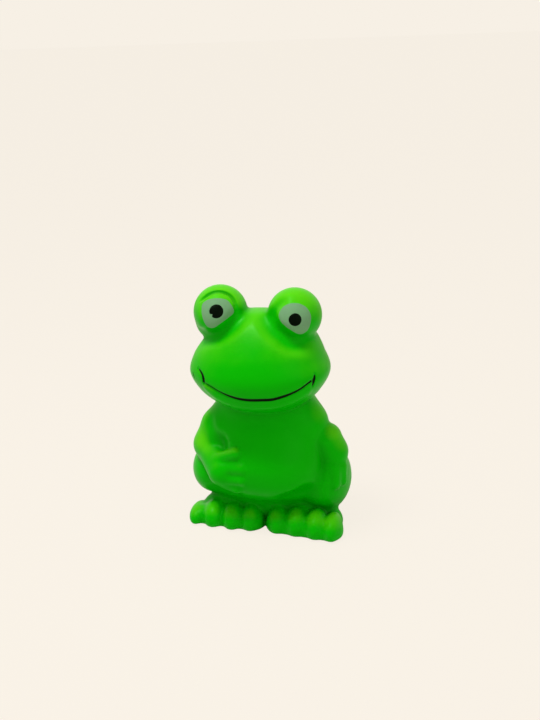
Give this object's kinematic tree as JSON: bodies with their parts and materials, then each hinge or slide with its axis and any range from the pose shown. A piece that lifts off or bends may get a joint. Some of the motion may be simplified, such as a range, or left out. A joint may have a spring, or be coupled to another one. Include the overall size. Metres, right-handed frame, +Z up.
{
  "type": "squeaky bath toy",
  "caption": "Sitting frog bath toy with a hollow soft skin, a belly that is squeezed and springs back, painted eyes and mouth, and a reed squeaker pressed into its flat base",
  "frame": {"origin": "On the ground, halfway between the tip of the snout and the back, and halfway between the outer sides of the thighs", "axes": "+Z up, the face looks along -Y, and +X is the frog's own left, which is the viewer's right"},
  "size_m": [0.0589, 0.0462, 0.0894],
  "materials": {
    "green_vinyl": "satin soft PVC, bright green",
    "white_paint": "soft-edged sprayed white",
    "black_paint": "black paint, slightly glossy",
    "squeaker_plastic": "natural moulded plastic",
    "holder_plastic": "white moulded plastic",
    "reed_metal": "thin rolled brass strip"
  },
  "bodies": {
    "toy": {"vinyl_skin": "green_vinyl", "left_eye_white": "white_paint", "right_eye_white": "white_paint", "left_pupil": "black_paint", "right_pupil": "black_paint", "mouth_line": "black_paint", "squeaker_barrel": "squeaker_plastic", "squeaker_cap": "squeaker_plastic", "reed_holder": "holder_plastic", "reed_wedge": "holder_plastic"},
    "belly": {"belly_wall": "green_vinyl"},
    "reed_tongue": {"reed": "reed_metal"}
  },
  "joints": [
    {"name": "belly_squeeze", "type": "slide", "parent": "toy", "child": "belly", "axis": [0, 1, 0], "range_m": [0, 0.007], "stiffness_N_per_m": 800},
    {"name": "reed_flutter", "type": "hinge", "parent": "toy", "child": "reed_tongue", "pos_m": [0, 0.00481, 0.0131], "axis": [-1, 0, 0], "range_deg": [-0.5, 1.5], "stiffness_Nm_per_rad": 0.0002}
  ]
}
